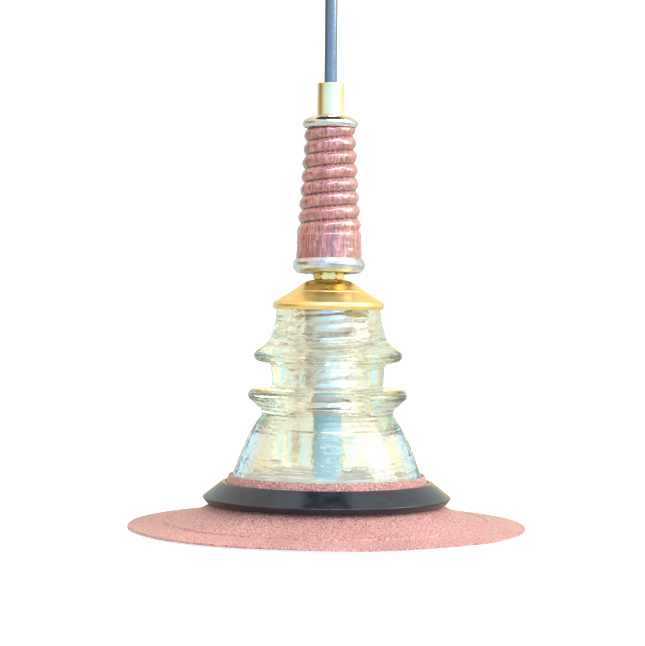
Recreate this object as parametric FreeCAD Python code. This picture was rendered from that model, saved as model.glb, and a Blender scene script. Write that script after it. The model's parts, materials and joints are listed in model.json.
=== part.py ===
"""Pendant lamp made from a pin-type glass insulator, its threaded wooden pin and a spun metal hood.

Millimetres, +Z up. The origin is the centre of the ceiling face; the lamp hangs below it along -Z.
Each turned piece is drawn as an outline of (radius, height) points below its own top face.
"""
import FreeCAD
import Part
import math
import os

# Ceiling fitting
CANOPY_RADIUS = 57.0
CANOPY_DEPTH = 34.0
SHEET = 1.0
BOX_SCREW_SPACING = 88.9
STUD_SPACING = 69.85
STUD_RADIUS = 2.05
BAR_LENGTH = 104.0
BAR_WIDTH = 16.0
BAR_THICKNESS = 1.8
SLOT_LENGTH = 10.0
SLOT_WIDTH = 5.2
GROUND_SCREW_X = 18.0

# Ball swivel
PIVOT_Z = -29.0
BALL_RADIUS = 9.0
BALL_TOP = 7.0
NECK_RADIUS = 4.2
RUNNING_GAP = 0.03
LINER_RADIUS = BALL_RADIUS + RUNNING_GAP + 0.97
LINER_ANGLE = 51.0
SOCKET_BALL_RADIUS = LINER_RADIUS + RUNNING_GAP
SEAT_RADIUS = 13.0
LIP_ANGLE = 49.0
BUSH_RADIUS = 3.6
BUSH_FLANGE = 1.0
CLAMP_Z = PIVOT_Z + BALL_TOP + 8.0

# Cord
CORD_RADIUS = 3.0
CORD_TOP = -44.0
CORD_LENGTH = 43.2
TAIL_LENGTH = 18.0
WIRE_RADIUS = 0.85
WIRE_OFFSET = 1.3
LAMP_TOP = CORD_TOP - CORD_LENGTH

# Sleeve, stem and nuts
SLEEVE_RADIUS = 6.35
SLEEVE_HEIGHT = 15.2
SLEEVE_LIP = 0.8
GRIP_RADIUS = 5.6
GRIP_HEIGHT = 6.0
STEM_RADIUS = 4.9
STEM_HOLE = 5.1
STEM_TOP = LAMP_TOP - SLEEVE_LIP - GRIP_HEIGHT - 0.2
HEX_ACROSS_FLATS = 12.7
NUT_HEIGHT = 3.6
LOCK_NUT_HEIGHT = 2.6
COLLAR_HEIGHT = 1.5

# Wooden peg
PEG_LENGTH = 65.0
PEG_TOP_RADIUS = 11.75
PEG_SHOULDER = 50.6
PEG_SHOULDER_RADIUS = 15.1
PEG_FOOT_RADIUS = 15.5
PIN_PITCH = 6.35
THREAD_DEPTH = 1.1
THREAD_START_ANGLE = 40.0
RING_TILT = 3.0

# Cap, glass and the pieces inside it
CAP_SHEET = 0.9
GASKET_HEIGHT = 1.6
CROWN_THICKNESS = 9.0
INNER_GASKET_HEIGHT = 1.2
WASHER_HEIGHT = 1.0
BRACKET_SHEET = 1.0
SOCKET_RADIUS = 8.4
SOCKET_HEIGHT = 27.9
SHELL_RADIUS = 11.3
SHELL_SHEET = 0.7
CONTACT_RADIUS = 1.6
CONTACT_HEIGHT = 9.0

# Bulb
PIN_OFFSET = 4.5
BULB_PIN_RADIUS = 0.6
BULB_RADIUS = 7.0
BULB_BASE_HEIGHT = 8.0
BULB_LENGTH = 44.0

# Heights of the stack, from the cord down
TOP_RING_Z = LAMP_TOP - SLEEVE_HEIGHT
PEG_Z = TOP_RING_Z - 4.0
BOTTOM_RING_Z = PEG_Z - PEG_LENGTH + 1.95
COLLAR_Z = BOTTOM_RING_Z - 4.25
NUT_Z = COLLAR_Z - COLLAR_HEIGHT
CAP_Z = NUT_Z - NUT_HEIGHT
GLASS_Z = CAP_Z - CAP_SHEET - GASKET_HEIGHT
HOOD_Z = GLASS_Z - 88.5
PINHOLE_Z = GLASS_Z - CROWN_THICKNESS
SHELL_Z = PINHOLE_Z - INNER_GASKET_HEIGHT
WASHER_Z = SHELL_Z - SHELL_SHEET
INNER_NUT_Z = WASHER_Z - WASHER_HEIGHT
BRACKET_Z = INNER_NUT_Z - NUT_HEIGHT
LOCK_NUT_Z = BRACKET_Z - BRACKET_SHEET
STEM_BOTTOM = LOCK_NUT_Z - LOCK_NUT_HEIGHT
SOCKET_Z = STEM_BOTTOM - 1.6
EAR_SCREW_Z = SOCKET_Z - 4.5
BULB_Z = SOCKET_Z - SOCKET_HEIGHT - 0.4

VERTICAL = FreeCAD.Vector(0, 0, 1)


def spot(point):
    """Point of an outline, given as (radius, height), in the XZ plane."""
    return FreeCAD.Vector(point[0], 0, point[1])


def turned(start, *steps, z=0.0):
    """Solid of revolution. A step is a point, ("arc", middle, end) or ("curve", points it passes through)."""
    edges = []
    here = spot(start)
    for step in steps + (start,):
        if step[0] == "arc":
            end = spot(step[2])
            edges.append(Part.Arc(here, spot(step[1]), end).toShape())
        elif step[0] == "curve":
            through = [here] + [spot(point) for point in step[1:]]
            end = through[-1]
            curve = Part.BSplineCurve()
            curve.interpolate(through)
            edges.append(curve.toShape())
        else:
            end = spot(step)
            edges.append(Part.LineSegment(here, end).toShape())
        here = end
    solid = Part.Face(Part.Wire(edges)).revolve(FreeCAD.Vector(), VERTICAL, 360)
    if solid.Volume < 0:
        solid.reverse()
    solid.translate(FreeCAD.Vector(0, 0, z))
    return solid


def tube(outer, inner, top, height, x=0.0, y=0.0):
    """Upright tube, or a rod where inner is 0, from top down."""
    base = FreeCAD.Vector(x, y, top - height)
    solid = Part.makeCylinder(outer, height, base)
    if inner:
        solid = solid.cut(Part.makeCylinder(inner, height, base))
    return solid


def block(x_size, y_size, top, height, x=0.0, y=0.0):
    """Box centred on (x, y), from top down."""
    return Part.makeBox(x_size, y_size, height, FreeCAD.Vector(x - x_size / 2, y - y_size / 2, top - height))


def hexagon(across_flats, hole, top, height, x=0.0):
    """Hexagonal nut with two corners on the X direction, from top down."""
    corner = across_flats / math.sqrt(3)
    corners = []
    for turn in range(7):
        angle = math.radians(60 * turn)
        corners.append(FreeCAD.Vector(x + corner * math.cos(angle), corner * math.sin(angle), top - height))
    solid = Part.Face(Part.makePolygon(corners)).extrude(FreeCAD.Vector(0, 0, height))
    if hole:
        solid = solid.cut(tube(hole, 0, top, height, x))
    return solid


def cross_screw(radius, inner_end, outer_end, z):
    """Headless screw that points at the axis from +Y."""
    length = outer_end - inner_end
    return Part.makeCylinder(radius, length, FreeCAD.Vector(0, inner_end, z), FreeCAD.Vector(0, 1, 0))


def pair(offset, build):
    """The two mirror-image solids that build(x) gives at -offset and +offset, as one group."""
    return Part.makeCompound([build(-offset), build(offset)])


# Ceiling fitting ---------------------------------------------------------------------------------

def slot(x):
    """Tool that cuts one slot of the crossbar."""
    straight = SLOT_LENGTH - SLOT_WIDTH
    cutter = block(straight, SLOT_WIDTH, 0, BAR_THICKNESS, x)
    for end in (-straight / 2, straight / 2):
        cutter = cutter.fuse(tube(SLOT_WIDTH / 2, 0, 0, BAR_THICKNESS, x + end))
    return cutter.removeSplitter()


def crossbar():
    bar = block(BAR_LENGTH, BAR_WIDTH, 0, BAR_THICKNESS)
    bar = bar.cut(tube(5.2, 0, 0, BAR_THICKNESS))
    bar = bar.cut(tube(2.0, 0, 0, BAR_THICKNESS, GROUND_SCREW_X))
    for side in (-1, 1):
        bar = bar.cut(slot(side * BOX_SCREW_SPACING / 2))
        bar = bar.cut(tube(STUD_RADIUS, 0, 0, BAR_THICKNESS, side * STUD_SPACING / 2))
    return bar


def canopy():
    """Round cover, flat below, with holes for the swivel and the two studs."""
    wall = CANOPY_RADIUS - SHEET
    shell = turned((CANOPY_RADIUS, 0),
                   (CANOPY_RADIUS, -17.0),
                   ("arc", (52.02, -29.02), (40.0, -CANOPY_DEPTH)),
                   (SEAT_RADIUS + 0.05, -CANOPY_DEPTH),
                   (SEAT_RADIUS + 0.05, -CANOPY_DEPTH + SHEET),
                   (40.0, -CANOPY_DEPTH + SHEET),
                   ("arc", (51.31, -28.31), (wall, -17.0)),
                   (wall, 0))
    for side in (-1, 1):
        shell = shell.cut(tube(STUD_RADIUS + 0.2, 0, 0, CANOPY_DEPTH, side * STUD_SPACING / 2))
    return shell


def knurled_nut(x):
    """Closed thumb nut whose grooved side is cut by a ring of small rods."""
    height = 7.0
    nut = turned((0, 0), (4.6, 0), (4.6, -5.6), ("arc", (4.2, -6.6), (3.2, -height)), (0, -height))
    nut.translate(FreeCAD.Vector(x, 0, -CANOPY_DEPTH))
    nut = nut.cut(tube(STUD_RADIUS, 0, -CANOPY_DEPTH, 5.5, x))
    grooves = []
    for turn in range(24):
        angle = math.radians(15 * turn)
        grooves.append(tube(0.3, 0, -CANOPY_DEPTH - 1, 4, x + 4.7 * math.cos(angle), 4.7 * math.sin(angle)))
    return nut.cut(Part.makeCompound(grooves))


def ground_screw():
    shaft = tube(2.0, 0, 0, BAR_THICKNESS + 0.5, GROUND_SCREW_X)
    return shaft.fuse(hexagon(7.0, 0, -BAR_THICKNESS - 0.5, 2.6, GROUND_SCREW_X)).removeSplitter()


# Ball swivel --------------------------------------------------------------------------------------

def on_sphere(radius, angle):
    """Outline point on a sphere about the pivot, at an angle in degrees from straight down."""
    return (radius * math.sin(math.radians(angle)), -radius * math.cos(math.radians(angle)))


def swivel_seat():
    """Flanged ring whose bored inside is a socket for the lined ball."""
    top = 5.0
    flange = PIVOT_Z + CANOPY_DEPTH
    return turned((SOCKET_BALL_RADIUS, top),
                  (SEAT_RADIUS, top),
                  (SEAT_RADIUS, -flange),
                  (15.5, -flange),
                  ("arc", (15.2, -flange - 1.5), (13.6, -flange - 2.5)),
                  (8.4, -flange - 2.5),
                  on_sphere(SOCKET_BALL_RADIUS, LIP_ANGLE),
                  ("arc", on_sphere(SOCKET_BALL_RADIUS, 70), (SOCKET_BALL_RADIUS, 0)),
                  z=PIVOT_Z)


def swivel_liner():
    """Thin zone of a sphere between the ball and its seat."""
    inner = BALL_RADIUS + RUNNING_GAP
    return turned((LINER_RADIUS, 0),
                  ("arc", on_sphere(LINER_RADIUS, 70), on_sphere(LINER_RADIUS, LINER_ANGLE)),
                  on_sphere(inner, LINER_ANGLE),
                  ("arc", on_sphere(inner, 70), (inner, 0)),
                  z=PIVOT_Z)


def swivel_ball():
    """Bored ball, flat on top, with a neck that the cord leaves by."""
    neck_end = CORD_TOP + BUSH_FLANGE - PIVOT_Z
    flat = math.sqrt(BALL_RADIUS ** 2 - BALL_TOP ** 2)
    neck_start = -math.sqrt(BALL_RADIUS ** 2 - NECK_RADIUS ** 2)
    return turned((BUSH_RADIUS, BALL_TOP),
                  (flat, BALL_TOP),
                  ("arc", (BALL_RADIUS, 0), (NECK_RADIUS, neck_start)),
                  (NECK_RADIUS, neck_end),
                  (BUSH_RADIUS, neck_end),
                  z=PIVOT_Z)


def ceiling_bush():
    """Nylon bush that lines the ball, with a rounded flange at its mouth."""
    length = PIVOT_Z + BALL_TOP - CORD_TOP
    return turned((CORD_RADIUS, 0),
                  (BUSH_RADIUS, 0),
                  (BUSH_RADIUS, BUSH_FLANGE - length),
                  (4.5, BUSH_FLANGE - length),
                  ("arc", (4.3, -length + 0.3), (3.7, -length)),
                  (CORD_RADIUS, -length),
                  z=PIVOT_Z + BALL_TOP)


def cord_clamp():
    collar = tube(7.0, CORD_RADIUS, CLAMP_Z, 8.0)
    return collar.cut(clamp_screw())


def clamp_screw():
    return cross_screw(1.5, CORD_RADIUS + 0.05, 7.6, CLAMP_Z - 4.0)


# Cord ---------------------------------------------------------------------------------------------

def cord():
    """Straight hanging stretch of cord between the swivel and the lamp."""
    return tube(CORD_RADIUS, 0, CORD_TOP, CORD_LENGTH)


def cord_head():
    """End of the cord held in the ball and the clamp."""
    return tube(CORD_RADIUS, 0, CLAMP_Z + 2.0, CLAMP_Z + 2.0 - CORD_TOP)


def ceiling_leads():
    top = -BAR_THICKNESS - 1.2
    return pair(WIRE_OFFSET, lambda x: tube(WIRE_RADIUS, 0, top, top - CLAMP_Z - 2.0, x))


def cord_tail():
    """End of the cord held in the lamp's sleeve and stem."""
    return tube(CORD_RADIUS, 0, LAMP_TOP, TAIL_LENGTH)


def lamp_leads():
    top = LAMP_TOP - TAIL_LENGTH
    return pair(WIRE_OFFSET, lambda x: tube(WIRE_RADIUS, 0, top, top - SOCKET_Z + 2.0, x))


# Grip, rings and wooden peg -------------------------------------------------------------------------

def cord_sleeve():
    """Brass tube that screws on the stem and holds the cord grip under its top lip."""
    shell = turned((CORD_RADIUS + 0.1, 0),
                   (SLEEVE_RADIUS - 0.5, 0),
                   ("arc", (SLEEVE_RADIUS - 0.15, -0.15), (SLEEVE_RADIUS, -0.5)),
                   (SLEEVE_RADIUS, -SLEEVE_HEIGHT),
                   (STEM_RADIUS + 0.05, -SLEEVE_HEIGHT),
                   (STEM_RADIUS + 0.05, STEM_TOP - LAMP_TOP),
                   (GRIP_RADIUS, STEM_TOP - LAMP_TOP),
                   (GRIP_RADIUS, -SLEEVE_LIP),
                   (CORD_RADIUS + 0.1, -SLEEVE_LIP),
                   z=LAMP_TOP)
    return shell.cut(grip_screw())


def cord_grip():
    collar = tube(GRIP_RADIUS, CORD_RADIUS, LAMP_TOP - SLEEVE_LIP, GRIP_HEIGHT)
    return collar.cut(grip_screw())


def grip_screw():
    return cross_screw(1.5, CORD_RADIUS + 0.05, SLEEVE_RADIUS - 0.1, LAMP_TOP - 4.0)


def stem():
    """Threaded tube that clamps the whole stack, drawn without its thread."""
    return tube(STEM_RADIUS, 3.3, STEM_TOP, STEM_TOP - STEM_BOTTOM)


def top_ring():
    """Dished ring with a rolled edge; the top of the peg sits inside it."""
    return turned((STEM_HOLE, 0),
                  (6.8, 0),
                  ("arc", (9.9, -0.6), (12.2, -2.0)),
                  ("arc", (13.1, -3.2), (12.6, -5.2)),
                  ("arc", (12.3, -5.6), (11.9, -5.3)),
                  (11.9, -4.0),
                  (STEM_HOLE, -4.0),
                  z=TOP_RING_Z)


def wooden_peg():
    """Insulator pin: a tapered right-hand thread over a plain foot, bored for the stem."""
    peg = turned((STEM_HOLE + 0.2, 0),
                 (PEG_TOP_RADIUS - 1.0, 0),
                 (PEG_TOP_RADIUS, -1.4),
                 (PEG_SHOULDER_RADIUS, -PEG_SHOULDER),
                 (PEG_FOOT_RADIUS, -PEG_LENGTH),
                 (STEM_HOLE + 0.2, -PEG_LENGTH))
    peg = peg.cut(thread_groove())
    peg.translate(FreeCAD.Vector(0, 0, PEG_Z))
    return peg


def thread_groove():
    """Narrow V that climbs a cone in a right-hand helix, from the shoulder out through the peg's top."""
    taper = math.degrees(math.atan((PEG_SHOULDER_RADIUS - PEG_TOP_RADIUS) / PEG_SHOULDER))
    run = PEG_SHOULDER + PIN_PITCH / 2
    start = PEG_TOP_RADIUS - PIN_PITCH / 2 * math.tan(math.radians(taper))
    path = Part.makeHelix(PIN_PITCH, run, start, taper)
    half_mouth = 2.2
    lip = 0.4
    corners = [(start - THREAD_DEPTH, 0),
               (start + lip, half_mouth),
               (start + lip, -half_mouth),
               (start - THREAD_DEPTH, 0)]
    cutter_profile = Part.makePolygon([spot(corner) for corner in corners])
    groove = Part.Wire(path).makePipeShell([cutter_profile], True, False)
    groove.rotate(FreeCAD.Vector(), FreeCAD.Vector(1, 0, 0), 180)
    groove.rotate(FreeCAD.Vector(), VERTICAL, THREAD_START_ANGLE)
    groove.translate(FreeCAD.Vector(0, 0, PIN_PITCH / 2))
    return groove


def bottom_ring():
    """Cupped ring under the peg; it sits a little askew, raised at the front."""
    ring = turned((STEM_HOLE + 0.4, -2.9),
                  (15.8, -2.9),
                  (15.8, -0.3),
                  ("arc", (16.05, 0), (16.3, -0.3)),
                  ("arc", (17.0, -3.2), (15.2, -6.0)),
                  ("arc", (14.5, -6.2), (14.3, -5.6)),
                  (14.6, -3.9),
                  (STEM_HOLE + 0.4, -3.9))
    ring.rotate(FreeCAD.Vector(0, 0, -3.4), FreeCAD.Vector(1, 0, 0), -RING_TILT)
    ring.translate(FreeCAD.Vector(0, 0, BOTTOM_RING_Z))
    return ring


def stem_collar():
    return turned((STEM_HOLE, 0),
                  (6.4, 0),
                  ("arc", (6.75, -COLLAR_HEIGHT / 2), (6.4, -COLLAR_HEIGHT)),
                  (STEM_HOLE, -COLLAR_HEIGHT),
                  z=COLLAR_Z)


# Brass cap and glass --------------------------------------------------------------------------------

def glass_cap():
    """Spun cap over the crown of the glass, with a crease round its cone and a rolled rim."""
    return turned((STEM_HOLE, 0),
                  (7.0, 0),
                  ("arc", (11.3, -1.2), (14.5, -3.5)),
                  (16.7, -5.0),
                  ("arc", (17.1, -5.1), (17.4, -5.5)),
                  (24.4, -9.7),
                  ("arc", (26.1, -11.6), (25.7, -13.7)),
                  ("arc", (25.4, -13.9), (25.2, -13.6)),
                  ("arc", (25.3, -11.8), (23.9, -10.4)),
                  (16.5, -6.1),
                  ("arc", (11.0, -2.1), (7.0, -CAP_SHEET)),
                  (STEM_HOLE, -CAP_SHEET),
                  z=CAP_Z)


def crown_gasket():
    return tube(7.0, STEM_HOLE, CAP_Z - CAP_SHEET, GASKET_HEIGHT)


def glass_insulator():
    """Pressed glass: crown, two rings with the wire groove between, flared skirt and inner petticoat."""
    return turned((5.6, 0),
                  (9.0, 0),
                  ("arc", (17.4, -5.4), (23.4, -9.3)),
                  ("arc", (24.4, -10.5), (24.7, -12.3)),
                  (25.2, -17.3),
                  ("curve", (26.3, -20.7), (28.2, -26.2), (33.4, -30.6)),
                  ("arc", (35.0, -32.9), (33.6, -35.5)),
                  (31.0, -36.3),
                  ("arc", (27.9, -36.9), (27.0, -38.3)),
                  (26.5, -46.5),
                  ("arc", (26.9, -47.7), (28.6, -48.1)),
                  (34.8, -48.5),
                  ("arc", (37.4, -51.2), (36.2, -53.9)),
                  (33.2, -56.7),
                  ("arc", (31.1, -59.0), (32.4, -62.2)),
                  ("curve", (37.7, -71.5), (43.6, -86.4), (45.0, -91.0)),
                  (45.8, -94.2),
                  ("arc", (45.6, -96.4), (44.0, -97.1)),
                  (42.8, -97.1),
                  ("arc", (41.5, -96.5), (40.9, -95.2)),
                  ("curve", (38.4, -86.7), (35.0, -77.7), (31.6, -70.2)),
                  ("arc", (29.6, -67.4), (28.0, -69.7)),
                  (26.4, -80.8),
                  ("arc", (24.8, -83.7), (21.5, -84.7)),
                  (16.6, -84.7),
                  ("arc", (15.1, -84.1), (14.6, -82.7)),
                  (13.1, -62.7),
                  (12.0, -CROWN_THICKNESS - 2.6),
                  ("arc", (11.2, -CROWN_THICKNESS - 0.7), (9.5, -CROWN_THICKNESS)),
                  (5.6, -CROWN_THICKNESS),
                  z=GLASS_Z)


# Pieces inside the glass ----------------------------------------------------------------------------

def inner_gasket():
    return tube(8.8, STEM_HOLE, PINHOLE_Z, INNER_GASKET_HEIGHT)


def socket_shell():
    """Thin metal cup that hangs from the crown and hides the socket and its wires."""
    height = SHELL_Z - SOCKET_Z + SOCKET_HEIGHT
    inner = SHELL_RADIUS - SHELL_SHEET
    return turned((STEM_HOLE, 0),
                  (SHELL_RADIUS - 1.5, 0),
                  ("arc", (SHELL_RADIUS - 0.44, -0.44), (SHELL_RADIUS, -1.5)),
                  (SHELL_RADIUS, -height),
                  (inner, -height),
                  (inner, -1.5),
                  ("arc", (inner - 0.23, -0.93), (SHELL_RADIUS - 1.5, -SHELL_SHEET)),
                  (STEM_HOLE, -SHELL_SHEET),
                  z=SHELL_Z)


def inner_washer():
    return tube(9.4, STEM_HOLE, WASHER_Z, WASHER_HEIGHT)


def ear_screw(x):
    """Round-headed screw through one ear of the bracket into the side of the socket."""
    side = math.copysign(1, x)
    outward = FreeCAD.Vector(side, 0, 0)
    shaft = Part.makeCylinder(0.9, 2.6, FreeCAD.Vector(side * (SOCKET_RADIUS - 1.6), 0, EAR_SCREW_Z), outward)
    head = Part.makeCylinder(1.7, 0.9, FreeCAD.Vector(side * (SOCKET_RADIUS + 1.0), 0, EAR_SCREW_Z), outward)
    return shaft.fuse(head).removeSplitter()


def socket_screws():
    return pair(SOCKET_RADIUS, ear_screw)


def socket_bracket():
    """Flat strap under the inner nut, with two ears bent down beside the socket."""
    span = 2 * (SOCKET_RADIUS + BRACKET_SHEET)
    bracket = block(span, 9.0, BRACKET_Z, BRACKET_SHEET).fuse(tube(8.0, 0, BRACKET_Z, BRACKET_SHEET))
    drop = BRACKET_Z - EAR_SCREW_Z + 3.0
    for side in (-1, 1):
        ear_x = side * (SOCKET_RADIUS + BRACKET_SHEET / 2)
        bracket = bracket.fuse(block(BRACKET_SHEET, 6.0, BRACKET_Z, drop, ear_x))
    bracket = bracket.cut(tube(STEM_HOLE, 0, BRACKET_Z, BRACKET_SHEET))
    return bracket.cut(socket_screws()).removeSplitter()


def lamp_socket():
    """Ceramic push-in socket with two pin holes and a cavity round each contact."""
    body = turned((0, 0), (6.6, 0), (SOCKET_RADIUS - 0.1, -1.6), (SOCKET_RADIUS - 0.1, -SOCKET_HEIGHT + 0.6),
                  (SOCKET_RADIUS - 0.7, -SOCKET_HEIGHT), (0, -SOCKET_HEIGHT), z=SOCKET_Z)
    body = body.cut(lamp_leads())
    body = body.cut(socket_screws())
    cavity_top = SOCKET_Z - SOCKET_HEIGHT + CONTACT_HEIGHT + 2.0
    for x in (-PIN_OFFSET, PIN_OFFSET):
        body = body.cut(tube(CONTACT_RADIUS, 0, cavity_top, CONTACT_HEIGHT, x))
        body = body.cut(tube(BULB_PIN_RADIUS + 0.3, 0, SOCKET_Z - SOCKET_HEIGHT + 2.0, 2.0, x))
    return body


def socket_contacts():
    top = SOCKET_Z - SOCKET_HEIGHT + CONTACT_HEIGHT + 2.0
    return pair(PIN_OFFSET, lambda x: tube(CONTACT_RADIUS, BULB_PIN_RADIUS + 0.05, top, CONTACT_HEIGHT, x))


# Bulb -------------------------------------------------------------------------------------------------

def bulb_pins():
    length = 9.0
    return pair(PIN_OFFSET, lambda x: tube(BULB_PIN_RADIUS, 0, BULB_Z + length, length, x))


def bulb_base():
    return turned((0, 0), (6.6, 0), (BULB_RADIUS + 0.3, -0.8), (BULB_RADIUS + 0.3, -BULB_BASE_HEIGHT),
                  (0, -BULB_BASE_HEIGHT), z=BULB_Z)


def bulb_globe():
    """Clear capsule, open at the base and domed at its lower end."""
    height = BULB_LENGTH - BULB_BASE_HEIGHT
    wall = 0.8
    dome = BULB_RADIUS * math.sqrt(0.5)
    inner = BULB_RADIUS - wall
    inner_dome = inner * math.sqrt(0.5)
    centre = -height + BULB_RADIUS
    return turned((inner, 0),
                  (BULB_RADIUS, 0),
                  (BULB_RADIUS, centre),
                  ("arc", (dome, centre - dome), (0, -height)),
                  (0, wall - height),
                  ("arc", (inner_dome, centre - inner_dome), (inner, centre)),
                  z=BULB_Z - BULB_BASE_HEIGHT)


def bulb_strip():
    """Flat carrier for the light-emitting chips inside the capsule."""
    return block(6.0, 1.2, BULB_Z - BULB_BASE_HEIGHT, 30.0)


# Hood ---------------------------------------------------------------------------------------------------

def hood():
    """Spun hood: a conical collar that rests on the glass, a steep neck and a wide shallow brim with a bead."""
    return turned((45.15, 0),
                  (46.0, 0),
                  (47.5, -4.2),
                  ("curve", (50.4, -9.6), (54.2, -13.6), (61.5, -17.5), (74.4, -21.2)),
                  ("arc", (75.8, -20.9), (77.0, -21.8)),
                  (91.6, -23.5),
                  ("arc", (93.0, -24.5), (91.6, -25.3)),
                  ("arc", (90.9, -25.0), (90.9, -24.4)),
                  (77.0, -22.8),
                  (74.0, -22.1),
                  ("curve", (61.1, -18.4), (53.5, -14.3), (49.5, -10.0), (46.65, -4.4)),
                  z=HOOD_Z)


def hood_ring():
    """Bevelled black ring on the shoulder of the hood."""
    return turned((47.45, -3.3),
                  (49.3, -3.3),
                  (57.8, -10.0),
                  ("arc", (58.1, -10.4), (58.0, -10.8)),
                  (56.2, -13.1),
                  (54.1, -13.1),
                  ("curve", (50.9, -9.8), (48.0, -4.8)),
                  z=HOOD_Z)


PIECES = {
    "crossbar": crossbar(),
    "canopy": canopy(),
    "canopy_studs": pair(STUD_SPACING / 2, lambda x: tube(STUD_RADIUS, 0, 0, CANOPY_DEPTH + 5.0, x)),
    "canopy_nuts": pair(STUD_SPACING / 2, knurled_nut),
    "ground_screw": ground_screw(),
    "swivel_seat": swivel_seat(),
    "seat_nut": tube(16.5, SEAT_RADIUS, -CANOPY_DEPTH + SHEET + 3.5, 3.5),
    "swivel_liner": swivel_liner(),
    "swivel_ball": swivel_ball(),
    "ceiling_bush": ceiling_bush(),
    "cord_clamp": cord_clamp(),
    "clamp_screw": clamp_screw(),
    "cord_head": cord_head(),
    "ceiling_leads": ceiling_leads(),
    "cord": cord(),
    "cord_tail": cord_tail(),
    "lamp_leads": lamp_leads(),
    "cord_sleeve": cord_sleeve(),
    "cord_grip": cord_grip(),
    "grip_screw": grip_screw(),
    "stem": stem(),
    "top_ring": top_ring(),
    "wooden_peg": wooden_peg(),
    "bottom_ring": bottom_ring(),
    "stem_collar": stem_collar(),
    "stem_nut": hexagon(HEX_ACROSS_FLATS, STEM_HOLE, NUT_Z, NUT_HEIGHT),
    "glass_cap": glass_cap(),
    "crown_gasket": crown_gasket(),
    "glass_insulator": glass_insulator(),
    "inner_gasket": inner_gasket(),
    "socket_shell": socket_shell(),
    "inner_washer": inner_washer(),
    "inner_nut": hexagon(HEX_ACROSS_FLATS, STEM_HOLE, INNER_NUT_Z, NUT_HEIGHT),
    "socket_bracket": socket_bracket(),
    "lock_nut": hexagon(HEX_ACROSS_FLATS, STEM_HOLE, LOCK_NUT_Z, LOCK_NUT_HEIGHT),
    "lamp_socket": lamp_socket(),
    "socket_screws": socket_screws(),
    "socket_contacts": socket_contacts(),
    "bulb_pins": bulb_pins(),
    "bulb_base": bulb_base(),
    "bulb_globe": bulb_globe(),
    "bulb_strip": bulb_strip(),
    "hood": hood(),
    "hood_ring": hood_ring(),
}

os.makedirs("parts", exist_ok=True)
for name, shape in PIECES.items():
    shape.exportStep("parts/" + name + ".step")
    box = shape.BoundBox
    print(f"{name:16} solids {len(shape.Solids)} valid {shape.isValid()} volume {shape.Volume:10.1f}"
          f" z {box.ZMin:8.2f} {box.ZMax:8.2f}")
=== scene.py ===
"""Looks of a pendant lamp made from a pin-type glass insulator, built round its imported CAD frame.

Metres, +Z up: the origin is on the ceiling and the lamp hangs below it. An outline is a list of
(radius, height) in millimetres, with heights counted from the top of its own piece, as in the CAD model.
"""
import bpy
import bmesh
import json
import math
from mathutils import Matrix, Vector, noise


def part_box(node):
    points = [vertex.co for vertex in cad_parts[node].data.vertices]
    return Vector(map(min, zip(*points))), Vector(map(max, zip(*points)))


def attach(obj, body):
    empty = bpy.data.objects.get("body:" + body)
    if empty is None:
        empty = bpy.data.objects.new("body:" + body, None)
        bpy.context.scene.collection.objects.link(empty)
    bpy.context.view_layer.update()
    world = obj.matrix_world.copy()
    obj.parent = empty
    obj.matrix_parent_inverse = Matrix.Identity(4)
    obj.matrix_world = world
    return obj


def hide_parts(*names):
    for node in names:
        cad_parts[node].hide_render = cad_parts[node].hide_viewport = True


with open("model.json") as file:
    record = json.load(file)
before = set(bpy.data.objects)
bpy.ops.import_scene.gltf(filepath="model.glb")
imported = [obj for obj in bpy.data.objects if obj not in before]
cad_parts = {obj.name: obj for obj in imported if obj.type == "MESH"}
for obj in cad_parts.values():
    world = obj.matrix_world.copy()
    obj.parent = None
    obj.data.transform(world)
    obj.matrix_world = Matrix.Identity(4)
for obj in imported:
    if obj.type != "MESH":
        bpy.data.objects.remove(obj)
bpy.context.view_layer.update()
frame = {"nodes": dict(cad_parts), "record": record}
nodes = frame["nodes"]
scene = bpy.context.scene

MM = 0.001
PIN_PITCH = 6.35


def top_of(node):
    """Height of the top of a CAD node, in metres."""
    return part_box(node)[1][2]


def bottom_of(node):
    """Height of the bottom of a CAD node, in metres."""
    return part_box(node)[0][2]


# Camera -----------------------------------------------------------------------------------------

EYE_BELOW_CAP_TOP = 7.2 * MM
CAMERA_DISTANCE = 0.925
CAMERA_SIDESTEP = -2.7 * MM
CAMERA_PITCH = math.radians(-0.81)
CAMERA_ROLL = math.radians(0.55)


def build_camera():
    """Long lens level with the brass cap, turned a little so that the lamp leans to the right."""
    data = bpy.data.cameras.new("camera")
    data.sensor_width = 36.0
    data.lens = 110.3
    camera = bpy.data.objects.new("camera", data)
    scene.collection.objects.link(camera)
    upright = Matrix.Rotation(math.radians(90) + CAMERA_PITCH, 4, "X")
    camera.matrix_world = upright @ Matrix.Rotation(CAMERA_ROLL, 4, "Z")
    camera.location = (CAMERA_SIDESTEP, -CAMERA_DISTANCE, top_of("glass_cap") - EYE_BELOW_CAP_TOP)
    scene.camera = camera


# Outlines and turned meshes ---------------------------------------------------------------------

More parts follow.
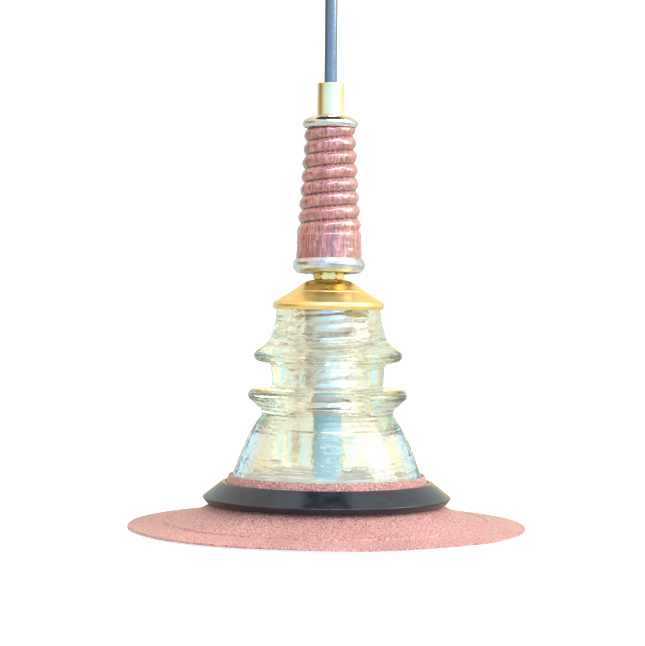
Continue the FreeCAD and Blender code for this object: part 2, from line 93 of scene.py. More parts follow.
def arc_points(start, middle, end, step=8.0):
    """Points after start on the circle through three points, one every step degrees."""
    (ax, ay), (bx, by), (cx, cy) = start, middle, end
    d = 2 * (ax * (by - cy) + bx * (cy - ay) + cx * (ay - by))
    a2, b2, c2 = ax * ax + ay * ay, bx * bx + by * by, cx * cx + cy * cy
    ux = (a2 * (by - cy) + b2 * (cy - ay) + c2 * (ay - by)) / d
    uy = (a2 * (cx - bx) + b2 * (ax - cx) + c2 * (bx - ax)) / d
    radius = math.hypot(ax - ux, ay - uy)
    first = math.atan2(ay - uy, ax - ux)
    turn = (math.atan2(cy - uy, cx - ux) - first) % math.tau
    through = (math.atan2(by - uy, bx - ux) - first) % math.tau
    if through > turn:
        turn -= math.tau
    count = max(2, round(abs(math.degrees(turn)) / step))
    angles = [first + turn * i / count for i in range(1, count + 1)]
    return [(ux + radius * math.cos(a), uy + radius * math.sin(a)) for a in angles]


def curve_points(start, through, per_span=8):
    """Points after start on a smooth curve through the given points."""
    fixed = [start] + list(through)
    padded = [fixed[0]] + fixed + [fixed[-1]]
    points = []
    for i in range(len(fixed) - 1):
        p0, p1, p2, p3 = (Vector(p) for p in padded[i:i + 4])
        for k in range(1, per_span + 1):
            t = k / per_span
            point = 0.5 * (2 * p1 + (p2 - p0) * t + (2 * p0 - 5 * p1 + 4 * p2 - p3) * t ** 2
                           + (3 * p1 - p0 - 3 * p2 + p3) * t ** 3)
            points.append(tuple(point))
    return points


def softened(points, fillet):
    """The closed outline with each clear corner rounded off by about the fillet."""
    result = []
    for i, here in enumerate(points):
        here = Vector(here)
        back = Vector(points[i - 1]) - here
        ahead = Vector(points[(i + 1) % len(points)]) - here
        corner = back.length > 1e-6 and ahead.length > 1e-6 and math.degrees((-back).angle(ahead)) > 22
        if not corner or here.x < 1e-6:
            result.append(tuple(here))
            continue
        cut = min(fillet, 0.45 * back.length, 0.45 * ahead.length)
        first = here + back.normalized() * cut
        last = here + ahead.normalized() * cut
        for t in (0, 0.25, 0.5, 0.75, 1):
            result.append(tuple((1 - t) ** 2 * first + 2 * t * (1 - t) * here + t ** 2 * last))
    return result


def spread(points, longest):
    """The closed outline with points added so that no run is over the longest, in millimetres."""
    result = []
    for i, here in enumerate(points):
        ahead = points[(i + 1) % len(points)]
        count = max(1, math.ceil(math.dist(here, ahead) / longest))
        for k in range(count):
            t = k / count
            result.append((here[0] + (ahead[0] - here[0]) * t, here[1] + (ahead[1] - here[1]) * t))
    return result


def outline(start, *steps, fillet=0.2, longest=4.0):
    """Closed outline. A step is a point, ("arc", middle, end) or ("curve", points it passes through)."""
    points = [start]
    for step in steps:
        if step[0] == "arc":
            points += arc_points(points[-1], step[1], step[2])
        elif step[0] == "curve":
            points += curve_points(points[-1], step[1:])
        else:
            points.append(step)
    return spread(softened(points, fillet), longest)


def mesh_object(name, vertices, faces):
    """Object from lists, with its normals outward, its doubled points merged and smooth shading."""
    mesh = bpy.data.meshes.new(name)
    mesh.from_pydata(vertices, [], faces)
    piece = bpy.data.objects.new(name, mesh)
    scene.collection.objects.link(piece)
    tidy = bmesh_of(mesh)
    bmesh.ops.remove_doubles(tidy, verts=tidy.verts, dist=1e-7)
    bmesh.ops.recalc_face_normals(tidy, faces=tidy.faces)
    tidy.to_mesh(mesh)
    tidy.free()
    mesh.shade_smooth()
    mesh.set_sharp_from_angle(angle=math.radians(50))
    return piece


def bmesh_of(mesh):
    """Editable copy of a mesh, which to_mesh writes back."""
    data = bmesh.new()
    data.from_mesh(mesh)
    return data


def rings_of_faces(count, around):
    """Faces that join each ring of vertices to the next, and the last one to the first."""
    faces = []
    for i in range(count):
        low, high = i * around, (i + 1) % count * around
        for k in range(around):
            n = (k + 1) % around
            faces.append((low + k, low + n, high + n, high + k))
    return faces


def lathe(name, points, top, around=144, shape=None):
    """Closed turned mesh. shape(radius, angle, height) gives a changed (radius, height), in millimetres."""
    vertices = []
    for radius, height in points:
        for k in range(around):
            angle = math.tau * k / around
            r, h = shape(radius, angle, height) if shape else (radius, height)
            vertices.append((r * MM * math.cos(angle), r * MM * math.sin(angle), top + h * MM))
    return mesh_object(name, vertices, rings_of_faces(len(points), around))


def wobble(x, y, z, size, seed=0.0):
    """Smooth noise from -1 to 1, with features of about the given size."""
    return noise.noise(Vector((x / size + seed, y / size, z / size)))


# Materials --------------------------------------------------------------------------------------

class Nodes:
    """Short ways to add shader nodes to one node tree."""

    def __init__(self, tree):
        self.tree = tree

    def node(self, kind, links=(), **settings):
        made = self.tree.nodes.new(kind)
        for key, value in settings.items():
            setattr(made, key, value)
        for socket, value in links:
            if isinstance(value, bpy.types.NodeSocket):
                self.tree.links.new(value, made.inputs[socket])
            else:
                made.inputs[socket].default_value = value
        return made

    def ramp(self, factor, *stops):
        """Colour from a factor. A stop is (position, colour or grey level)."""
        made = self.node("ShaderNodeValToRGB", [("Fac", factor)])
        elements = made.color_ramp.elements
        while len(elements) < len(stops):
            elements.new(0.5)
        for element, (position, colour) in zip(elements, stops):
            element.position = position
            element.color = (colour, colour, colour, 1) if isinstance(colour, float) else (*colour, 1)
        return made.outputs[0]

    def mix(self, factor, first, second, blend="MIX"):
        """Blend of two colours. The factor and the colours can be values or sockets."""
        made = self.node("ShaderNodeMix", data_type="RGBA", blend_type=blend)
        for index, value in ((0, factor), (6, first), (7, second)):
            if isinstance(value, bpy.types.NodeSocket):
                self.tree.links.new(value, made.inputs[index])
            else:
                made.inputs[index].default_value = value if index == 0 else (*value, 1)
        return made.outputs[2]

    def between(self, value, low, high):
        """Soft step that rises from 0 at low to 1 at high."""
        values = [("Value", value), ("From Min", low), ("From Max", high)]
        return self.node("ShaderNodeMapRange", values, interpolation_type="SMOOTHSTEP").outputs[0]


class Look(Nodes):
    """A Principled material, with short ways to vary it over the surface."""

    def __init__(self, name, **plain):
        self.material = bpy.data.materials.new(name)
        self.material.use_nodes = True
        super().__init__(self.material.node_tree)
        self.shader = self.tree.nodes["Principled BSDF"]
        for socket, value in plain.items():
            self.shader.inputs[socket.replace("_", " ")].default_value = value

    def place(self, stretch=(1, 1, 1)):
        """Place on the object in metres, each axis multiplied by its stretch."""
        where = self.node("ShaderNodeTexCoord").outputs["Object"]
        return self.node("ShaderNodeMapping", [("Vector", where), ("Scale", stretch)]).outputs[0]

    def noise(self, where, scale, detail=3.0, roughness=0.5, distortion=0.0):
        values = [("Vector", where), ("Scale", scale), ("Detail", detail), ("Roughness", roughness),
                  ("Distortion", distortion)]
        return self.node("ShaderNodeTexNoise", values).outputs["Fac"]

    def cells(self, where, scale, feature="F1"):
        values = [("Vector", where), ("Scale", scale)]
        return self.node("ShaderNodeTexVoronoi", values, feature=feature).outputs["Distance"]

    def marked(self, name):
        """Value that mesh code stored at each vertex under a name."""
        return self.node("ShaderNodeAttribute", attribute_name=name).outputs["Fac"]

    def colour(self, value):
        self.tree.links.new(value, self.shader.inputs["Base Color"])

    def roughness(self, factor, low, high):
        self.tree.links.new(self.ramp(factor, (0.3, low), (0.7, high)), self.shader.inputs["Roughness"])

    def bump(self, height, depth, under=None):
        """Adds relief of a depth in metres, on top of another bump if one is given."""
        made = self.node("ShaderNodeBump", [("Height", height), ("Distance", depth), ("Strength", 1.0)])
        if under is not None:
            self.tree.links.new(under, made.inputs["Normal"])
        self.tree.links.new(made.outputs[0], self.shader.inputs["Normal"])
        return made.outputs[0]


def glass_look():
    """Old clear pressed glass: a yellow-green tint that grows with thickness, and soft flow lines."""
    look = Look("clear_glass", Base_Color=(0.985, 0.99, 0.975, 1), Roughness=0.0, IOR=1.5,
                Transmission_Weight=1.0)
    flow = look.noise(look.place((60, 60, 520)), 1.0, detail=3.0, roughness=0.6, distortion=0.5)
    dimples = look.noise(look.place(), 330.0, detail=2.0)
    look.bump(flow, 0.22 * MM, look.bump(dimples, 0.14 * MM))
    depth = look.node("ShaderNodeVolumeAbsorption", [("Color", (0.91, 0.92, 0.50, 1)), ("Density", 9.0)])
    look.tree.links.new(depth.outputs[0], look.tree.nodes["Material Output"].inputs["Volume"])
    return look.material


def wood_look():
    """Red-brown stained pin: long fibres with painted lilac-white sheen streaks, painted shade in the
    valleys, worn crests and a semi-gloss finish.
    """
    look = Look("stained_wood", Specular_IOR_Level=0.8, Coat_Weight=1.0, Coat_Roughness=0.16,
                Coat_IOR=1.9)
    broad = look.noise(look.place((170, 170, 14)), 1.0, detail=4.0, distortion=0.3)
    fibre = look.noise(look.place((1500, 1500, 70)), 1.0, detail=3.0, roughness=0.65)
    chips = look.noise(look.place((420, 420, 200)), 1.0, detail=4.0, roughness=0.7)
    base = look.ramp(broad, (0.30, (0.230, 0.036, 0.022)), (0.52, (0.380, 0.078, 0.050)),
                     (0.72, (0.500, 0.145, 0.105)))
    # Fibre streaks: the dark stop is the grain, and the bluish-white top stop is a painted sheen of the
    # sky.
    fibre_and_sheen = look.ramp(fibre, (0.34, (0.26, 0.15, 0.14)), (0.48, (0.92, 0.88, 0.88)),
                       (0.62, (1.65, 2.2, 2.5)))
    coloured = look.mix(0.95, base, fibre_and_sheen, "MULTIPLY")
    worn = look.ramp(chips, (0.54, 0.0), (0.64, 0.6))
    coloured = look.mix(worn, coloured, (0.62, 0.34, 0.27))
    # Painted shade: the thread valleys are darkened towards near-black red by their depth.
    valley = look.between(look.marked("valley"), 0.5, 1.0)
    look.colour(look.mix(valley, coloured, (0.11, 0.020, 0.016)))
    look.roughness(fibre, 0.32, 0.55)
    look.bump(fibre, 0.16 * MM, look.bump(chips, 0.25 * MM))
    return look.material


def brass_look(name, dull, bright, shine):
    """Polished and lacquered brass with fine turning lines and a few dull patches."""
    look = Look(name, Metallic=1.0, Anisotropic=0.3)
    lines = look.noise(look.place((20, 20, 9000)), 1.0, detail=1.0)
    patches = look.noise(look.place(), 110.0, detail=2.0)
    look.colour(look.ramp(patches, (0.30, dull), (0.60, bright)))
    look.roughness(patches, shine, shine * 1.4)
    look.bump(lines, 0.0006 * MM)
    return look.material


def chrome_look():
    """Bright plating with faint waves from pressing and small wear marks."""
    look = Look("chrome_plate", Metallic=1.0)
    waves = look.noise(look.place((180, 180, 500)), 1.0, detail=2.0)
    wear = look.noise(look.place(), 900.0, detail=5.0)
    look.colour(look.ramp(waves, (0.3, (0.46, 0.47, 0.45)), (0.7, (0.80, 0.80, 0.77))))
    look.roughness(wear, 0.04, 0.14)
    look.bump(waves, 0.25 * MM)
    return look.material


def hood_look():
    """Granular salmon-pink coat with lighter specks, and a white lining on the faces that look down."""
    look = Look("hood_coat", Specular_IOR_Level=0.5, Sheen_Weight=0.2, Sheen_Roughness=0.4)
    place = look.place()
    tone = look.noise(place, 28.0, detail=3.0)
    grain = look.noise(place, 1300.0, detail=3.0, roughness=0.7)
    fleck = look.cells(place, 900.0)
    base = look.ramp(tone, (0.30, (0.45, 0.195, 0.155)), (0.70, (0.54, 0.240, 0.195)))
    grainy = look.ramp(grain, (0.36, (0.30, 0.20, 0.19)), (0.50, (0.95, 0.93, 0.92)),
                       (0.62, (1.55, 1.75, 1.80)))
    coloured = look.mix(0.9, base, grainy, "MULTIPLY")
    specks = look.ramp(fleck, (0.12, 0.85), (0.26, 0.0))
    coat = look.mix(specks, coloured, (0.84, 0.60, 0.54))
    facing = look.node("ShaderNodeTexCoord").outputs["Normal"]
    upward = look.node("ShaderNodeSeparateXYZ", [(0, facing)]).outputs[2]
    lining = look.ramp(tone, (0.3, (0.80, 0.80, 0.77)), (0.7, (0.86, 0.86, 0.83)))
    look.colour(look.mix(look.between(upward, -0.04, 0.04), lining, coat))
    look.roughness(grain, 0.45, 0.75)
    look.bump(grain, 0.22 * MM)
    return look.material


def black_ring_look():
    """Satin black ring, a little dusty, with pale scuffs where its edges have been knocked."""
    look = Look("black_ring", Specular_IOR_Level=0.6)
    place = look.place()
    dust = look.noise(place, 220.0, detail=5.0)
    nick = look.noise(place, 700.0, detail=4.0, roughness=0.75)
    scuffs = look.ramp(nick, (0.68, 0.0), (0.74, 0.55))
    base = look.ramp(dust, (0.35, (0.003, 0.007, 0.012)), (0.70, (0.010, 0.016, 0.024)))
    look.colour(look.mix(scuffs, base, (0.16, 0.16, 0.15)))
    look.roughness(dust, 0.14, 0.28)
    look.bump(nick, 0.02 * MM)
    return look.material


def simple_look(name, dark, light, roughness, size=300.0, relief=0.01 * MM, metallic=0.0, **plain):
    """A finish whose tone wanders between two colours, with matching roughness and a fine relief."""
    look = Look(name, Metallic=metallic, **plain)
    cloud = look.noise(look.place(), size, detail=5.0, roughness=0.6)
    look.colour(look.ramp(cloud, (0.32, dark), (0.68, light)))
    look.roughness(cloud, roughness * 0.8, roughness * 1.25)
    look.bump(cloud, relief)
    return look.material


looks = {
    "clear_glass": glass_look(),
    "stained_wood": wood_look(),
    "polished_brass": brass_look("polished_brass", (0.88, 0.61, 0.22), (0.94, 0.69, 0.28), 0.24),
    # Lighter, glossier copy of the polished brass for the sleeve: painted light that stands in for the
    # brighter light on it.
    "brass_lit_copy": brass_look("brass_lit_copy", (0.86, 0.72, 0.42), (0.93, 0.82, 0.55), 0.10),
    "chrome_plate": chrome_look(),
    "hood_coat": hood_look(),
    "black_ring": black_ring_look(),
    # The cord is black PVC. Its dark blue base colour is painted reflection of a blue sky.
    "cord_jacket": simple_look("cord_jacket", (0.008, 0.062, 0.140), (0.014, 0.088, 0.190), 0.13, 500.0,
                               IOR=1.9, Specular_IOR_Level=1.0),
    "canopy_metal": simple_look("canopy_metal", (0.014, 0.014, 0.014), (0.024, 0.024, 0.023), 0.38, 900.0),
    "satin_nickel": simple_look("satin_nickel", (0.72, 0.72, 0.69), (0.82, 0.82, 0.79), 0.22, 400.0,
                                metallic=1.0),
    "zinc_steel": simple_look("zinc_steel", (0.52, 0.52, 0.50), (0.66, 0.66, 0.64), 0.30, 700.0,
                              metallic=1.0),
    "ground_green": simple_look("ground_green", (0.015, 0.10, 0.03), (0.03, 0.16, 0.05), 0.35),
    "nylon": simple_look("nylon", (0.66, 0.65, 0.60), (0.76, 0.75, 0.70), 0.45, Subsurface_Weight=0.1),
    "lead_jacket": simple_look("lead_jacket", (0.62, 0.61, 0.57), (0.72, 0.71, 0.67), 0.35),
    "black_rubber": simple_look("black_rubber", (0.016, 0.016, 0.016), (0.030, 0.030, 0.029), 0.70, 1500.0),
    "white_ceramic": simple_look("white_ceramic", (0.76, 0.75, 0.71), (0.84, 0.83, 0.80), 0.22, 120.0),
    "bulb_white": simple_look("bulb_white", (0.78, 0.77, 0.74), (0.84, 0.83, 0.80), 0.40),
    "led_yellow": simple_look("led_yellow", (0.80, 0.70, 0.42), (0.86, 0.78, 0.52), 0.50, 1200.0),
    # The pale blue is partly a daylight-blue bulb tint and partly painted reflection, standing in for the
    # sky-blue seen through the glass.
    "bulb_glass": simple_look("bulb_glass", (0.42, 0.82, 0.99), (0.50, 0.89, 1.00), 0.35, 60.0,
                              IOR=1.47, Transmission_Weight=0.15),
}


def finish_piece(piece, body, slot, *replaced):
    """Gives a piece its material, its body, its slot and the CAD nodes that it stands for."""
    piece.data.materials.clear()
    piece.data.materials.append(looks[slot])
    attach(piece, body)
    if replaced:
        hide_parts(*replaced)
    return piece


def dress_cad_nodes():
    """Puts the right finish on every CAD node that stays in view."""
    for part in frame["record"]["subparts"]:
        mesh = nodes[part["node"]].data
        mesh.materials.clear()
        mesh.materials.append(looks[part["material_slot"]])


# Cord -------------------------------------------------------------------------------------------

CORD_DIAMETER = 6.0 * MM
CORD_TOP = -44.0 * MM
# The cord ends just above the hidden tail in the sleeve, so that the two never touch.
CORD_END = -87.18 * MM


def build_cord():
    """Straight hanging cord, pulled tight by the lamp, from the brass sleeve up to the ceiling bush."""
    curve = bpy.data.curves.new("hanging_cord", "CURVE")
    curve.dimensions = "3D"
    spline = curve.splines.new("NURBS")
    route = [(0, 0, CORD_END), (0, 0, (CORD_END + CORD_TOP) / 2), (0, 0, CORD_TOP)]
    spline.points.add(len(route) - 1)
    for point, place in zip(spline.points, route):
        point.co = (*place, 1)
    spline.order_u = 3
    spline.use_endpoint_u = True
    curve.bevel_depth = CORD_DIAMETER / 2
    curve.bevel_resolution = 12
    curve.use_fill_caps = True
    piece = bpy.data.objects.new("hanging_cord", curve)
    scene.collection.objects.link(piece)
    finish_piece(piece, "swivel", "cord_jacket", "cord")


# Lamp pieces, from the cord down ----------------------------------------------------------------

def build_sleeve():
    """Brass tube that grips the cord, with an inner ledge."""
    points = outline((3.1, 0), (6.35, 0), (6.35, -15.2), (4.95, -15.2), (4.95, -7.0), (5.6, -7.0),
                     (5.6, -0.8), (3.1, -0.8), fillet=0.35)
    sleeve = lathe("brass_sleeve", points, top_of("cord_sleeve"))
    finish_piece(sleeve, "lamp", "polished_brass", "cord_sleeve")
    # Painted light: the sleeve takes a lighter copy of its brass, so that it looks more brightly lit.
    sleeve.data.materials[0] = looks["brass_lit_copy"]


def build_top_ring():
    """Dished ring over the top of the peg."""
    points = outline((5.1, 0), (6.8, 0), ("arc", (9.9, -0.6), (12.2, -2.0)),
                     ("arc", (13.1, -3.2), (12.6, -5.2)), ("arc", (12.3, -5.6), (11.9, -5.3)),
                     (11.9, -4.0), (5.1, -4.0))
    finish_piece(lathe("upper_ring", points, top_of("top_ring")), "lamp", "chrome_plate", "top_ring")


PEG_TOP_RADIUS = 11.75
PEG_SHOULDER = 50.6
PEG_SHOULDER_RADIUS = 15.1
PEG_FOOT_RADIUS = 15.5
PEG_LENGTH = 65.0
PEG_THREAD_DEPTH = 1.6
PEG_CREST_BELOW_TOP = 17.9
STEM_ABOVE_PEG = 12.2


def thread_turns(angle, below):
    """Turns of the right-hand pin thread at a place, whole on a crest at the lamp's left side."""
    return (PEG_CREST_BELOW_TOP - below) / PIN_PITCH - (angle - math.pi) / math.tau


def valley_depth(angle, below):
    """Depth of the peg's groove at a place, from 0 on a crest to 1 in the narrow valley."""
    crest = abs(math.cos(math.pi * thread_turns(angle, below))) ** 0.85
    fade = min(1.0, max(0.0, (PEG_SHOULDER + 1.0 - below) / 3.0))
    return (1 - crest) * fade


def peg_surface(angle, below):
    """Radius of the peg at an angle and a distance below its top, in millimetres."""
    if below > PEG_SHOULDER:
        t = (below - PEG_SHOULDER) / (PEG_LENGTH - PEG_SHOULDER)
        radius = PEG_SHOULDER_RADIUS + (PEG_FOOT_RADIUS - PEG_SHOULDER_RADIUS) * t
    else:
        radius = PEG_TOP_RADIUS + (PEG_SHOULDER_RADIUS - PEG_TOP_RADIUS) * below / PEG_SHOULDER
    x, y = 13 * math.cos(angle), 13 * math.sin(angle)
    radius -= PEG_THREAD_DEPTH * valley_depth(angle, below)
    radius += 0.10 * wobble(x, y, below * 0.07, 0.9)
    radius += 0.22 * wobble(x, y, below * 1.6, 3.5, 7.0)
    edge = min(below, PEG_LENGTH - below)
    return radius - max(0.0, 0.9 - edge) * 0.9


def build_peg():
    """Threaded wooden pin with rounded crests, tight valleys and a drilled bore."""
    around, rows, bore = 320, 300, 5.3
    top = top_of("stem") - STEM_ABOVE_PEG * MM
    levels = [PEG_LENGTH * row / rows for row in range(rows + 1)] + [PEG_LENGTH, 0]
    vertices = []
    for row, below in enumerate(levels):
        for k in range(around):
            angle = math.tau * k / around
            radius = (peg_surface(angle, below) if row <= rows else bore) * MM
            vertices.append((radius * math.cos(angle), radius * math.sin(angle), top - below * MM))
    peg = mesh_object("threaded_peg", vertices, rings_of_faces(len(levels), around))
    marks = peg.data.attributes.new("valley", "FLOAT", "POINT")
    for mark, vertex in zip(marks.data, peg.data.vertices):
        x, y, z = vertex.co
        mark.value = valley_depth(math.atan2(y, x), (top - z) / MM)
    finish_piece(peg, "lamp", "stained_wood", "wooden_peg")


RING_TILT = math.radians(-3.0)


def build_bottom_ring():
    """Cupped ring under the peg, raised a little at the front."""
    points = outline((5.5, -2.9), (15.8, -2.9), (15.8, -0.3), ("arc", (16.05, 0), (16.3, -0.3)),
                     ("arc", (17.0, -3.2), (15.2, -6.0)), ("arc", (14.5, -6.2), (14.3, -5.6)), (14.6, -3.9),
                     (5.5, -3.9))
    ring = lathe("lower_ring", points, 0.0)
    low = top_of("stem_collar") + 4.25 * MM
    pivot = Matrix.Translation((0, 0, -3.4 * MM))
    ring.data.transform(Matrix.Translation((0, 0, low)) @ pivot @ Matrix.Rotation(RING_TILT, 4, "X")
                        @ pivot.inverted())
    finish_piece(ring, "lamp", "chrome_plate", "bottom_ring")


def build_collar():
    """Thin brass ring between the lower ring and the nut."""
    points = outline((5.1, 0), (6.4, 0), ("arc", (6.75, -0.75), (6.4, -1.5)), (5.1, -1.5), fillet=0.1)
    collar = lathe("brass_collar", points, top_of("stem_collar"))
    finish_piece(collar, "lamp", "polished_brass", "stem_collar")


def build_stem_nut():
    """Hexagon nut with chamfered corners at both faces."""
    height, bore, face, flat = 3.6, 5.1, 6.25, 6.35
    # Height of each row on the sides, with the radius that its corners are cut back to.
    sides = {-0.15: 6.85, -0.55: 7.35, 0.55 - height: 7.35, 0.15 - height: 6.85}
    points = [(bore, 0), (face, 0)] + [(cut, h) for h, cut in sides.items()]
    points += [(face, -height), (bore, -height)]

    def hexagon(radius, angle, h):
        if h not in sides:
            return radius, h
        turn = angle % (math.pi / 3) - math.pi / 6
        return min(flat / math.cos(turn), radius), h

    nut = lathe("brass_nut", points, top_of("stem_nut"), 180, hexagon)
    finish_piece(nut, "lamp", "polished_brass", "stem_nut")


def build_cap():
    """Spun brass cap with a creased cone and a rolled rim."""
    points = outline((5.1, 0), (7.0, 0), ("arc", (11.3, -1.2), (14.5, -3.5)), (16.7, -5.0),
                     ("arc", (17.1, -5.1), (17.4, -5.5)), (24.4, -9.7),
                     ("arc", (26.1, -11.6), (25.7, -13.7)), ("arc", (25.4, -13.9), (25.2, -13.6)),
                     ("arc", (25.3, -11.8), (23.9, -10.4)), (16.5, -6.1),
                     ("arc", (11.0, -2.1), (7.0, -0.9)), (5.1, -0.9), fillet=0.25)
    cap = lathe("brass_cap", points, top_of("glass_cap"), 192)
    finish_piece(cap, "lamp", "polished_brass", "glass_cap")


PINHOLE_TOP = -11.6
PINHOLE_END = -62.7
PINHOLE_RADIUS = 14.0
PINHOLE_THREAD_DEPTH = 1.0


def glass_surface(radius, angle, height):
    """Adds the pinhole's thread, pressing waves and a faint seam to the turned shape of the glass."""
    x, y = radius * math.cos(angle), radius * math.sin(angle)
    if radius < PINHOLE_RADIUS and PINHOLE_END < height < PINHOLE_TOP:
        turns = thread_turns(angle, -height)
        fade = min(1.0, (PINHOLE_TOP - height) / 3.0, (height - PINHOLE_END) / 3.0)
        return radius + PINHOLE_THREAD_DEPTH * fade * abs(math.cos(math.pi * turns)) ** 0.8, height
    waves = 0.22 * wobble(x, y, height, 16.0, 3.0) + 0.14 * wobble(x, y, height * 4.0, 11.0)
    waves += 0.05 * wobble(x, y, height * 8.0, 13.0, 5.0)
    if radius > 24:
        seam = math.exp(-(((angle % math.pi) - 0.2) * radius / 0.5) ** 2)
        waves += 0.10 * seam
    return radius + waves - 0.2, height


def build_glass():
    """Pressed glass: crown, two rings round the wire groove, skirt, petticoat and threaded pinhole."""
    points = outline((5.6, 0), (9.0, 0), ("arc", (17.4, -5.4), (23.4, -9.3)),
                     ("arc", (24.4, -10.5), (24.7, -12.3)), (25.2, -17.3),
                     ("curve", (26.3, -20.7), (28.2, -26.2), (33.4, -30.6)),
                     ("arc", (35.0, -32.9), (33.6, -35.5)), (31.0, -36.3),
                     ("arc", (27.9, -36.9), (27.0, -38.3)), (26.5, -46.5),
                     ("arc", (26.9, -47.7), (28.6, -48.1)), (34.8, -48.5),
                     ("arc", (37.4, -51.2), (36.2, -53.9)), (33.2, -56.7),
                     ("arc", (31.1, -59.0), (32.4, -62.2)),
                     ("curve", (37.7, -71.5), (43.6, -86.4), (45.0, -91.0)), (45.8, -94.2),
                     ("arc", (45.6, -96.4), (44.0, -97.1)), (42.8, -97.1),
                     ("arc", (41.5, -96.5), (40.9, -95.2)),
                     ("curve", (38.4, -86.7), (35.0, -77.7), (31.6, -70.2)),
                     ("arc", (29.6, -67.4), (28.0, -69.7)), (26.4, -80.8),
                     ("arc", (24.8, -83.7), (21.5, -84.7)), (16.6, -84.7),
                     ("arc", (15.1, -84.1), (14.6, -82.7)), (13.1, -62.7), (12.0, -11.6),
                     ("arc", (11.2, -9.7), (9.5, -9.0)), (5.6, -9.0), fillet=0.5, longest=0.6)
    glass = lathe("pressed_glass", points, top_of("glass_insulator"), 240, glass_surface)
    finish_piece(glass, "lamp", "clear_glass", "glass_insulator")


# Hood -------------------------------------------------------------------------------------------

def hood_surface(radius, angle, height):
    """Slight waves of a spun brim, more towards its rim."""
    x, y = radius * math.cos(angle), radius * math.sin(angle)
    reach = max(0.0, (radius - 60.0) / 33.0)
    wave = 0.2 + 0.3 * wobble(x, y, 0.0, 40.0)
    return radius - 0.1, height + reach * wave + 0.04 * wobble(x, y, height, 3.0)


def build_hood():
    """Spun hood: collar round the glass, curved neck, bead and wide brim."""
    points = outline((45.15, 0), (46.0, 0), (47.5, -4.2),
                     ("curve", (50.4, -9.6), (54.2, -13.6), (61.5, -17.5), (74.4, -21.2)),
                     ("arc", (75.8, -20.9), (77.0, -21.8)), (91.6, -23.5),
                     ("arc", (93.0, -24.5), (91.6, -25.3)),
                     ("arc", (90.9, -25.0), (90.9, -24.4)), (77.0, -22.8), (74.0, -22.1),
                     ("curve", (61.1, -18.4), (53.5, -14.3), (49.5, -10.0), (46.65, -4.4)),
                     fillet=0.25, longest=2.0)
    hood = lathe("spun_hood", points, top_of("hood"), 256, hood_surface)
    finish_piece(hood, "hood", "hood_coat", "hood")


def build_hood_ring():
    """Bevelled ring that sits round the neck of the hood."""
    points = outline((47.45, -3.3), (49.3, -3.3), (57.8, -10.0), ("arc", (58.1, -10.4), (58.0, -10.8)),
                     (56.2, -13.1), (54.1, -13.1), ("curve", (50.9, -9.8), (48.0, -4.8)), fillet=0.3)
    ring = lathe("bevelled_ring", points, top_of("hood"), 256)
    finish_piece(ring, "hood", "black_ring", "hood_ring")


# Studio -----------------------------------------------------------------------------------------

def area_light(name, place, wide, tall, power, colour):
    """Soft light at a place, aimed at the middle of the lamp."""
    data = bpy.data.lights.new(name, "AREA")
    data.shape = "RECTANGLE"
    data.size = wide
    data.size_y = tall
    data.energy = power
    data.color = colour
    light = bpy.data.objects.new(name, data)
    scene.collection.objects.link(light)
    light.location = place
    aim = Vector((0, 0, -0.2)) - Vector(place)
    light.rotation_euler = aim.to_track_quat("-Z", "Y").to_euler()


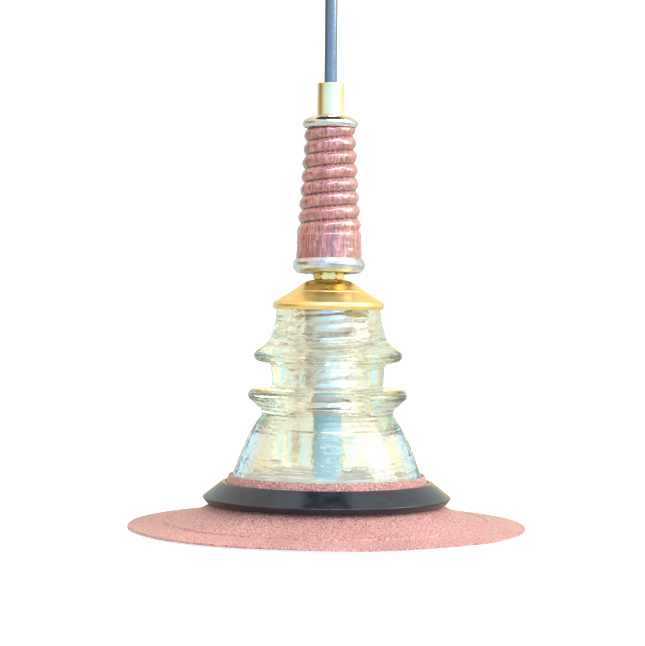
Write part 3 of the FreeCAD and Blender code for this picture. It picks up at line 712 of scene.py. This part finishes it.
def build_world():
    """White to the camera; to the lamp, soft daylight that changes slowly round the horizon."""
    world = bpy.data.worlds.new("studio")
    scene.world = world
    world.use_nodes = True
    world.node_tree.nodes.clear()
    sky = Nodes(world.node_tree)
    direction = sky.node("ShaderNodeTexCoord").outputs["Generated"]
    across, depth, height = sky.node("ShaderNodeSeparateXYZ", [(0, direction)]).outputs
    angle = sky.node("ShaderNodeMath", [(0, across), (1, depth)], operation="ARCTAN2").outputs[0]
    around = sky.node("ShaderNodeMath", [(0, angle), (1, 1 / math.tau), (2, 0.5)],
                      operation="MULTIPLY_ADD").outputs[0]
    # Round the horizon the ramps run from the front by the left, the back and the right to the front.
    low = sky.ramp(around, (0.00, (0.29, 0.47, 0.70)), (0.07, (0.26, 0.42, 0.58)),
                   (0.13, (0.32, 0.37, 0.37)), (0.18, (0.28, 0.26, 0.20)), (0.25, (0.11, 0.09, 0.07)),
                   (0.33, (0.22, 0.18, 0.10)), (0.37, (0.30, 0.33, 0.30)), (0.395, (0.22, 0.36, 0.45)),
                   (0.435, (0.22, 0.36, 0.45)), (0.455, (0.29, 0.27, 0.19)), (0.475, (0.38, 0.31, 0.17)),
                   (0.50, (0.50, 0.43, 0.26)), (0.525, (0.48, 0.41, 0.24)), (0.545, (0.40, 0.36, 0.22)),
                   (0.565, (0.22, 0.35, 0.43)), (0.605, (0.22, 0.35, 0.43)), (0.64, (0.44, 0.42, 0.29)),
                   (0.76, (0.54, 0.55, 0.50)), (0.84, (0.58, 0.72, 0.86)), (0.93, (0.42, 0.62, 0.86)),
                   (1.00, (0.29, 0.47, 0.70)))
    high = sky.ramp(around, (0.00, (0.32, 0.42, 0.58)), (0.25, (0.46, 0.40, 0.33)),
                    (0.435, (0.31, 0.29, 0.27)), (0.447, (0.46, 0.38, 0.24)), (0.553, (0.46, 0.38, 0.24)),
                    (0.565, (0.33, 0.32, 0.30)), (0.75, (0.48, 0.50, 0.50)), (1.00, (0.32, 0.42, 0.58)))
    room = sky.mix(sky.between(height, 0.25, 0.45), low, high)
    room = sky.mix(sky.between(height, 0.86, 0.97), room, (0.50, 0.53, 0.56))
    seen = sky.node("ShaderNodeLightPath").outputs["Is Camera Ray"]
    light = sky.mix(seen, room, (0.6, 0.6, 0.6))
    background = sky.node("ShaderNodeBackground", [("Color", light), ("Strength", 2.2)])
    sky.node("ShaderNodeOutputWorld", [("Surface", background.outputs[0])])


FLOOR_DROP = 0.75


def build_floor():
    """Wide pale round floor far below the lamp."""
    around, radius = 96, 9.0
    level = bottom_of("hood") - FLOOR_DROP
    vertices = [(radius * math.cos(math.tau * k / around), radius * math.sin(math.tau * k / around), level)
                for k in range(around)]
    mesh = bpy.data.meshes.new("floor")
    mesh.from_pydata(vertices, [], [tuple(range(around))])
    floor = bpy.data.objects.new("floor", mesh)
    scene.collection.objects.link(floor)
    look = Look("pale_floor", Roughness=0.9, Emission_Color=(1, 1, 1, 1))
    tone = look.noise(look.place(), 2.0)
    look.colour(look.ramp(tone, (0.3, (0.66, 0.64, 0.58)), (0.7, (0.72, 0.70, 0.64))))
    seen = look.node("ShaderNodeLightPath").outputs["Is Camera Ray"]
    look.tree.links.new(seen, look.shader.inputs["Emission Strength"])
    mesh.materials.append(look.material)


def build_studio():
    """World, floor, two soft lights and the view's exposure."""
    build_world()
    build_floor()
    area_light("key_right", (1.2, -0.2, 0.5), 0.8, 0.8, 8.0, (1.0, 0.97, 0.92))
    area_light("front_top", (0.35, -0.75, 0.95), 1.4, 0.35, 9.0, (0.90, 0.92, 1.0))
    scene.view_settings.view_transform = "Standard"
    scene.view_settings.exposure = 0.35


build_camera()
build_cord()
dress_cad_nodes()
build_sleeve()
build_top_ring()
build_peg()
build_bottom_ring()
build_collar()
build_stem_nut()
build_cap()
build_glass()
build_hood()
build_hood_ring()
build_studio()
